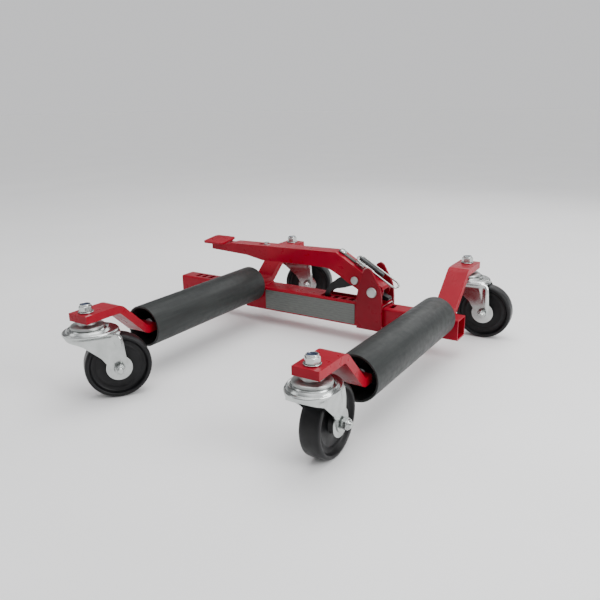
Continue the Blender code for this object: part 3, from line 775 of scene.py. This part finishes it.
def fork_shape():
    """The pressed fork: crown, skirt and fluted legs, hollow, with the rings of its ball race."""
    out = LEG_INSIDE + LEG_WALL - 1.2
    keys = [(113.0, -38.5, 45, 34.6, 2.0, 0), (111.5, -40.1, 47, 35.8, 2.0, 0),
            (109.2, -40.1, 47.5, 35.6, 2.05, 0), (107.2, -39, 48, 32.5, 2.4, 0),
            (105.0, -37, 49, 27.6, 3.3, 0.2), (101.5, -35.5, 50, 24.0, 5.0, 0.7),
            (95.0, -33.5, 51.5, out, 8.0, 1.9), (86.0, -32, 53, out, 9.0, 2.4),
            (76.0, -32, 54, out, 9.0, 2.4), (64.0, -32, 57, out, 9.0, 1.6),
            (50.0, -32, 58, out, 9.0, 0.0), (30.0, -32, 60, out, 9.0, 0)]
    body = lofted([level(z, a, b, half, power, flute)
                   for z, a, b, half, power, flute in eased(keys)])
    inner = [(110.3, -36, 42, 31.5, 2.0), (108.0, -37.5, 44, 32.0, 2.0),
             (106.0, -36.5, 46, 29.0, 2.4), (103.0, -34, 47, 24.5, 3.4),
             (98.0, -32, 48.5, 21.0, 5.5), (91.0, -30, 50, LEG_INSIDE, 9.0),
             (84.0, -29, 51, LEG_INSIDE, 9.0), (60.0, -29, 60, LEG_INSIDE, 9.0),
             (20.0, -29, 74, LEG_INSIDE, 9.0)]
    body = carved(body, lofted([level(*key) for key in eased(inner, 3)]))
    outline = [(-60, 130), (-60, 105.5), (-36, 104), (-12, 92.5), (14, 69), (26, 50)]
    outline += arc(TRAIL, AXLE_Z, 13.5, 172, 380, 24) + [(52.5, 62), (49.5, 98), (60, 130)]
    body = carved(body, prism(outline, -60, 60, "Y"), "INTERSECT")
    body = carved(body, box(6, 90, 0.8 - LEG_INSIDE, LEG_INSIDE - 0.8, 20, 105.5))
    ridge = [(18, 111), (18, 113.4), (21.0, 114.6), (22.2, 116.6), (24.0, 117.2), (25.6, 116.4),
             (26.8, 114.4), (28.2, 114.2), (29.8, 116.2), (31.4, 116.6), (32.8, 115.4),
             (34.2, 113.6), (35.2, 112.2), (34.8, 110.6)]
    body = carved(body, lathe(ridge, steps=96), "UNION")
    body = carved(body, rod(8, 90, 130))
    return carved(body, rod(5.4, -40, 40, "Y", 32, (TRAIL, 0, AXLE_Z)))


def wheel_profile():
    """(radius, height) round one half: hub, recessed face with its ring, rim and crowned tread."""
    half, radius = 15.5, 53.2
    face = [(5.5, -17.5), (13.6, -17.5), (14.6, -16.8), (16.6, -11.2), (17.8, -9.4),
            (32.6, -8.0), (33.8, -8.5), (35.0, -8.8), (36.2, -8.5), (37.4, -7.9), (42.6, -7.8),
            (44.6, -9.6), (45.6, -13.6), (46.6, -half + 0.3), (47.8, -half), (50.6, -half + 0.5),
            (52.2, -half + 2.0), (52.9, -half + 4.6), (53.15, -half + 8.6)]
    return face + [(radius, 0)] + [(r, -w) for r, w in reversed(face)]


def stem(place, at):
    """The stem with its race and collar, fixed under the arm."""
    arm_bottom = ARM_TOP - BAR_THICKNESS
    profile = [(0, 103.6), (9.4, 103.6), (10.2, 104.4), (11, 109.6), (7.6, 109.6), (7.6, 114),
               (17.2, 114), (19, 115.2), (19, 117.8), (26.4, 117.8), (27, 118.4), (26.4, 121.2),
               (24.4, 122.4), (17.0, 123.2), (15.6, 124.2), (15, 125.4), (15, arm_bottom - GAP),
               (6, arm_bottom - GAP), (6, 149), (0, 149)]
    stands_for(f"{place}_stem", lathe(profile), DARK_ZINC, at=at, bevel=0.25, segments=2)


def stem_nut(place, at):
    """Washer, nut and its nylon insert, on top of the arm."""
    low = ARM_TOP + GAP
    washer = lathe([(6.4, low), (11.6, low), (12, low + 0.5), (12, low + 1.5), (11.5, low + 2.1),
                    (6.4, low + 2.1)])
    collar = [(6.3, low + 10.2), (8.75, low + 10.2), (8.75, low + 12.4), (8.3, low + 13.5),
              (7.6, low + 13.9), (7.0, low + 13.5), (6.9, low + 12.6), (6.3, low + 12.4)]
    nut = joined(washer, carved(hex_head(19.0, low + 2.2, low + 10.8, 12.0, both=True),
                                rod(6.3, low, low + 20)), lathe(collar))
    stands_for(f"{place}_stem_nut", nut, ZINC, at=at, bevel=0.15, segments=2, angle=28)
    piece(f"{place}_nut_insert", lathe([(0, low + 10.4), (6.8, low + 10.4), (6.8, low + 12.9),
                                        (5.2, low + 12.9), (4.6, low + 11.8), (0, low + 11.8)]),
          NYLON, BODY_OF[f"{place}_stem_nut"], at=at, slot="pin_dark")


def wheel(place, axle):
    """The wheel, and the discs between its hub and the fork's legs."""
    stands_for(f"{place}_wheel", lathe(wheel_profile(), "Y", 128), WHEEL_BLACK, at=axle, angle=50)
    hub = 17.7
    for mark, sign in (("near", -1), ("far", 1)):
        disc = [(5.5, hub), (18.4, hub), (20.2, hub + 0.5), (21, hub + 1.2), (20.7, hub + 1.9),
                (19.4, hub + 2.15), (5.5, hub + 2.15)]
        shape = moved(lathe(disc, "Y", 96), Matrix.Diagonal((1, sign, 1, 1)))
        stands_for(f"{place}_hub_disc_{mark}", shape, ZINC, at=axle)


def axle_bolt(place, axle):
    """The bolt through the legs, and the nut on its threaded end."""
    out = LEG_INSIDE + LEG_WALL + GAP
    towards_y = Matrix.Rotation(-math.pi / 2, 4, "X")
    bolt = joined(moved(threaded(5, 28, 36.2), Matrix.Rotation(math.pi, 4, "X")),
                  rod(5, -30, out), hex_head(16.0, out, out + 6.2))
    stands_for(f"{place}_axle_bolt", moved(bolt, towards_y), ZINC, at=axle, angle=28)
    nut = carved(hex_head(16.0, out, out + 7.2, 20.0, both=True),
                 rod(5.3, out - 4, out + 20))
    collar = lathe([(5.3, out + 7), (7.4, out + 7), (7.3, out + 8.6), (6.6, out + 9.3),
                    (5.3, out + 9.3)], steps=48)
    nut = moved(joined(nut, collar), towards_y @ Matrix.Rotation(math.pi, 4, "X"))
    stands_for(f"{place}_axle_nut", nut, ZINC, at=axle, bevel=0.15, segments=2, angle=28)


def caster(place):
    """One caster, turned and placed as the frame's joints say."""
    across = Vector(JOINTS[f"{place}_wheel_spin"]["axis"])
    trail = across.cross(Vector((0, 0, 1)))
    base = TO_DESIGN @ joint_at(f"{place}_swivel_turn")
    under_arm = DESIGN @ Matrix.Translation((base.x, base.y, 0))
    at = under_arm @ Matrix.Rotation(math.atan2(trail.y, trail.x), 4, "Z")
    axle = at @ Matrix.Translation((TRAIL, 0, AXLE_Z))
    stem(place, at)
    stem_nut(place, under_arm)
    stands_for(f"{place}_fork", fork_shape(), ZINC, at=at, bevel=0.35, segments=2, angle=38)
    seal = lathe([(19.4, 113.5), (20.9, 114.0), (20.9, 116.2), (19.4, 116.2)])
    piece(f"{place}_race_seal", seal, BLACK_STEEL, f"{place}_swivel", at=at, slot="pawl_black")
    wheel(place, axle)
    axle_bolt(place, axle)


# ---------------------------------------------------------------- pedal
def on_slope(along, height, y=0.0):
    """A place on the pedal's sloping face, from the knee down the slope and out from it."""
    return Vector((KNEE.x + along * math.cos(SLOPE) - height * math.sin(SLOPE), BEAM_Y + y,
                   KNEE.z + along * math.sin(SLOPE) + height * math.cos(SLOPE)))


def along_slope(along, height, y=0.0):
    return (DESIGN @ Matrix.Translation(on_slope(along, height, y))
            @ Matrix.Rotation(-SLOPE, 4, "Y"))


PEDAL_HALF = 17.0
BOLT_X, BOLT_Z = -186.0, 163.1


def pedal_lever():
    """The pressed channel, open below, with its pin holes and the slot beside the bolt."""
    px, pz = PIVOT.x, PIVOT.z
    half, wall = PEDAL_HALF, 3.5
    knee = (KNEE.x, KNEE.z)
    heel = [(px + x, pz + z) for x, z in arc(0, 0, 17.0, 35, -115, 24)]
    top = rounded([(-322, 156.8), (-284, 157.6), (-268, 161.0), knee, (74, 119.8)], 9.0, 8,
                  closed=False)
    under = rounded([(38, 100.5), (16.4, 111.4), (0.3, 121.3), (-20, 131.5), (-31.5, 135),
                     (-92, 135.2), (-134, 134.1), (-187, 132.3), (-229, 139.6), (-322, 143.4)],
                    30.0, 5, closed=False)
    lever = prism(top + heel + under, BEAM_Y - half, BEAM_Y + half, "Y")
    inside = [(x, z - wall) for x, z in [(-318.5, 157.0), (-284, 157.6), (-268, 161.0), knee,
                                         (120, 93.2)]] + [(60, pz - 60), (-318.5, pz - 60)]
    tools = [prism(rounded(inside, 6.0, 6), BEAM_Y + wall - half, BEAM_Y + half - wall, "Y")]
    for at, radius in ((PIVOT, PIVOT_BORE), (PAWL_PIVOT, PAWL_BORE)):
        tools.append(rod(radius, BEAM_Y - 40, BEAM_Y + 40, "Y", centre=(at.x, 0, at.z)))
    slot = [(-205, BEAM_Y - 4.5), (-194, BEAM_Y - 4.5), (-194, BEAM_Y + 4.5),
            (-205, BEAM_Y + 4.5)]
    tools.append(prism(rounded(slot, 2.0), BOLT_Z - 12, BOLT_Z + 12, "Z"))
    lever = mesh_of(data_of(lever), lambda source: bevelled(source, 3.4, 5, 40.0))
    for tool in tools:
        lever = carved(lever, tool)
    stands_for("pedal_lever", lever, RED, bevel=0.5, angle=40)


def pedal_pad():
    half_length, half_width = 27.0, 26.0
    corners = [(-half_length, -half_width), (half_length, -half_width),
               (half_length, half_width), (-half_length, half_width)]
    tilted = (DESIGN @ Matrix.Translation((-313, BEAM_Y - 2, 161.2))
              @ Matrix.Rotation(math.radians(6), 4, "X"))
    stands_for("pedal_pad", prism(rounded(corners, 8.0, 8), -1.8, 1.8, "Z"), RED, at=tilted,
               bevel=1.1)
    for mark, y in (("near", -PEDAL_HALF - 0.4), ("far", PEDAL_HALF + 0.4)):
        bead(f"pad_weld_{mark}", [(-318, BEAM_Y + y, 157.6), (-292, BEAM_Y + y, 158.3)], 1.5,
             "pedal", RED)


def pedal_pins():
    """The pins that the pedal and the drive pawl turn on, headed at both ends."""
    pins = (
        ("pivot_pin", PIVOT, 72, [(0, 0.25), (4.0, 0.1), (7.8, 0), (9.2, 0.5), (10.0, 1.5),
                                  (10.2, 3.4), (8, 3.4)]),
        ("pawl_pin", PAWL_PIVOT, 64, [(0, 0.2), (3.0, 0.1), (6.2, 0), (7.3, 0.6), (7.9, 1.5),
                                      (8.0, 3.0), (5, 3.0)]),
    )
    for node, at, steps, head in pins:
        near, far = (corner.y for corner in extent(node))
        pin = [(r, near + h) for r, h in head] + [(r, far - h) for r, h in reversed(head)]
        stands_for(node, lathe(pin, "Y", steps, (at.x, 0, at.z)), PIN_ZINC, angle=50)


def pedal_fasteners():
    dome = [(0, -9), (2.8, -9), (2.8, 2.8), (7.1, 2.8), (7.4, 3.3), (7.2, 4.4), (6.4, 5.7),
            (5.0, 6.8), (3.0, 7.5), (0, 7.7)]
    recess = prism(hexagon(3.4, 8), 5.0, 9.0, "Z")
    stands_for("knee_screw", carved(lathe(dome, steps=64), recess), ZINC, at=along_slope(7, 0),
               angle=45, bevel=0.1, segments=2)
    washer = lathe([(0, -0.2), (6.6, -0.2), (6.8, 0.3), (6.4, 0.9), (0, 0.9)], steps=48)
    bolt = joined(washer, rod(2.8, -9, 0.5, steps=32), hex_head(10.0, 0.95, 4.8, 10))
    stands_for("pedal_bolt", bolt, ZINC, angle=28,
               at=DESIGN @ Matrix.Translation((BOLT_X, BEAM_Y, BOLT_Z)))


def pawls():
    drive = [(42, 127), (20, 127), (6, 122), (-8, 115.5), (-26, 101.5), (-36.5, 86), (-40, 77),
             (-40, 72.6), (-34, 73.0), (-29.5, 80), (-23, 88), (-10, 93), (5, 96.5), (25, 104),
             (42, 107)]
    tail = [(-21, -12), (-29, -22), (-30.5, -29.6), (-21.5, -29.6), (-16, -22), (-7, -14),
            (7, -15), (12, -18.5), (21, -20.5), (26, -17.5), (24, -13), (15, -10)]
    hold = arc(0, 0, 10.5, -28, 165, 32) + rounded(tail, 3.0, 4, closed=False)
    for node, half, outline, centre, bore in (
            ("drive_pawl", 8.0, rounded(drive, 5.0, 5), PAWL_PIVOT, PAWL_BORE),
            ("holding_pawl", 7.0, [(x + PIVOT.x, z + PIVOT.z) for x, z in hold], PIVOT,
             PIVOT_BORE)):
        blank = prism(outline, BEAM_Y - half, BEAM_Y + half, "Y")
        hole = rod(bore, BEAM_Y - 30, BEAM_Y + 30, "Y", centre=(centre.x, 0, centre.z))
        stands_for(node, carved(blank, hole), BLACK_STEEL, bevel=0.8)


# ---------------------------------------------------------------- lock pin on its strap
def lock_pin():
    start = along_slope(0, 0)
    strip = rounded([(-1, -4), (41.7, -4), (41.7, 4), (-1, 4)], 1.2)
    band = prism(strip, GAP, 2.6, "Z")
    hole = rod(3.2, -10, 10, steps=32, centre=(7, 0, 0))
    stands_for("tether_strap", carved(band, hole), STRAP, at=start, bevel=0.5)

    crimped = [(0, -10), (4.3, -10), (4.9, -9.3), (5.0, -7.4), (4.4, -6.6), (4.4, -5.0),
               (5.0, -4.2), (5.0, 4.2), (4.4, 5.0), (4.4, 6.6), (5.0, 7.4), (4.9, 9.3),
               (4.3, 10), (0, 10)]
    stands_for("tether_ferrule", lathe(crimped, "X", 48), ZINC, at=along_slope(52, 5.6, -2),
               angle=45)

    length, spread, gauge = 98.0, 11.0, 2.0
    right = arc(length - spread, 0, spread, -90, 90, 24)
    left = arc(spread, 0, spread, 90, 270, 24)
    loop = [(x, y, 0) for x, y in right + left]
    at = along_slope(40, 14.0) @ Matrix.Rotation(math.radians(9), 4, "X")
    stands_for("pin_bail", swept(loop, gauge, cyclic=True, sides=6), ZINC, at=at, angle=60)
    shank = [(0, 4), (3.6, 4), (4.2, 4.6), (4.3, 6), (4.3, 54.5), (3.9, 55.0), (3.9, 56.2),
             (4.3, 56.7), (4.3, 60), (3.4, 62.5), (0, 62.5)]
    stands_for("pin_shank", lathe(shank, "X", 48), PIN_STEEL,
               at=at @ Matrix.Translation((0, 0, 1.2)), angle=40)


# ---------------------------------------------------------------- studio
def floor():
    bm = bmesh.new()
    bmesh.ops.create_grid(bm, x_segments=1, y_segments=1, size=30.0)
    obj = bpy.data.objects.new("floor", data_of(bm, "floor"))
    bpy.context.scene.collection.objects.link(obj)
    pale = Recipe("pale_floor", (0.92, 0.92, 0.92), 0.55)
    tone = pale.noise(3.0, 3)
    pale.colour(pale.ramp(tone, [(0.3, (0.90, 0.90, 0.90)), (0.7, (0.93, 0.93, 0.93))]))
    obj.data.materials.append(pale.material)


def area_light(name, place, power, width, depth):
    """A softbox that looks at the middle of the dolly."""
    light = bpy.data.lights.new(name, "AREA")
    light.shape = "RECTANGLE"
    light.size = width
    light.size_y = depth
    light.energy = power
    obj = bpy.data.objects.new(name, light)
    aim = Vector((0.0, 0.0, 0.08)) - Vector(place)
    obj.matrix_world = (Matrix.Translation(place)
                        @ aim.to_track_quat("-Z", "Y").to_matrix().to_4x4())
    bpy.context.scene.collection.objects.link(obj)


def studio():
    """A soft sky, brightest overhead and dimmer in a band round the sides, with softboxes."""
    world = bpy.data.worlds.new("studio")
    world.use_nodes = True
    tree = world.node_tree
    background = tree.nodes["Background"]
    background.inputs["Strength"].default_value = 1.0
    direction = tree.nodes.new("ShaderNodeTexCoord").outputs["Generated"]
    split = tree.nodes.new("ShaderNodeSeparateXYZ")
    ramp = tree.nodes.new("ShaderNodeValToRGB")
    elements = ramp.color_ramp.elements
    for _ in range(3):
        elements.new(0.5)
    for element, (height, grey) in zip(elements, ((0.0, 0.80), (0.18, 0.80), (0.30, 0.20),
                                                  (0.55, 0.20), (0.88, 1.0))):
        element.position = height
        element.color = (grey, grey, grey * 1.02, 1)
    tree.links.new(direction, split.inputs["Vector"])
    tree.links.new(split.outputs["Z"], ramp.inputs["Fac"])
    tree.links.new(ramp.outputs["Color"], background.inputs["Color"])
    bpy.context.scene.world = world
    area_light("overhead", (0.1, 0.2, 1.9), 18, 1.8, 1.4)
    area_light("right", (1.9, -0.1, 0.85), 30, 1.0, 1.2)
    area_light("front_left", (-1.5, -1.4, 1.3), 5, 0.8, 1.0)
    area_light("back", (0.3, 1.9, 1.2), 10, 1.6, 0.8)
    light = bpy.data.lights.new("even", "SUN")
    light.energy = 1.1
    light.angle = math.radians(80)
    sun = bpy.data.objects.new("even", light)
    sun.matrix_world = Matrix.Rotation(math.radians(22), 4, "Y")
    bpy.context.scene.collection.objects.link(sun)


def camera():
    """At the photograph's place, turned left, tipped down and rolled slightly."""
    yaw, pitch, roll = (math.radians(a) for a in (32.35, -17.14, -0.84))
    ahead = Vector((-math.sin(yaw) * math.cos(pitch), math.cos(yaw) * math.cos(pitch),
                    math.sin(pitch)))
    right = Vector((math.cos(yaw), math.sin(yaw), 0))
    up = right.cross(ahead)
    across = right * math.cos(roll) + up * math.sin(roll)
    upright = up * math.cos(roll) - right * math.sin(roll)
    data = bpy.data.cameras.new("camera")
    data.sensor_width = 36.0
    data.lens = 38.551
    obj = bpy.data.objects.new("camera", data)
    turn = Matrix((across, upright, -ahead)).transposed().to_4x4()
    obj.matrix_world = Matrix.Translation((0.64538, -0.92766, 0.45637)) @ turn
    bpy.context.scene.collection.objects.link(obj)
    bpy.context.scene.camera = obj


sleeve()
rack()
ears()
data_plate()
welds()
for hand in ("left", "right"):
    arm(hand, "front")
    shaft_weld(hand)
    arm(hand, "rear")
    roller(hand)
for corner in CASTERS:
    caster(corner)
pedal_lever()
pedal_pad()
pedal_pins()
pedal_fasteners()
pawls()
lock_pin()
floor()
studio()
camera()
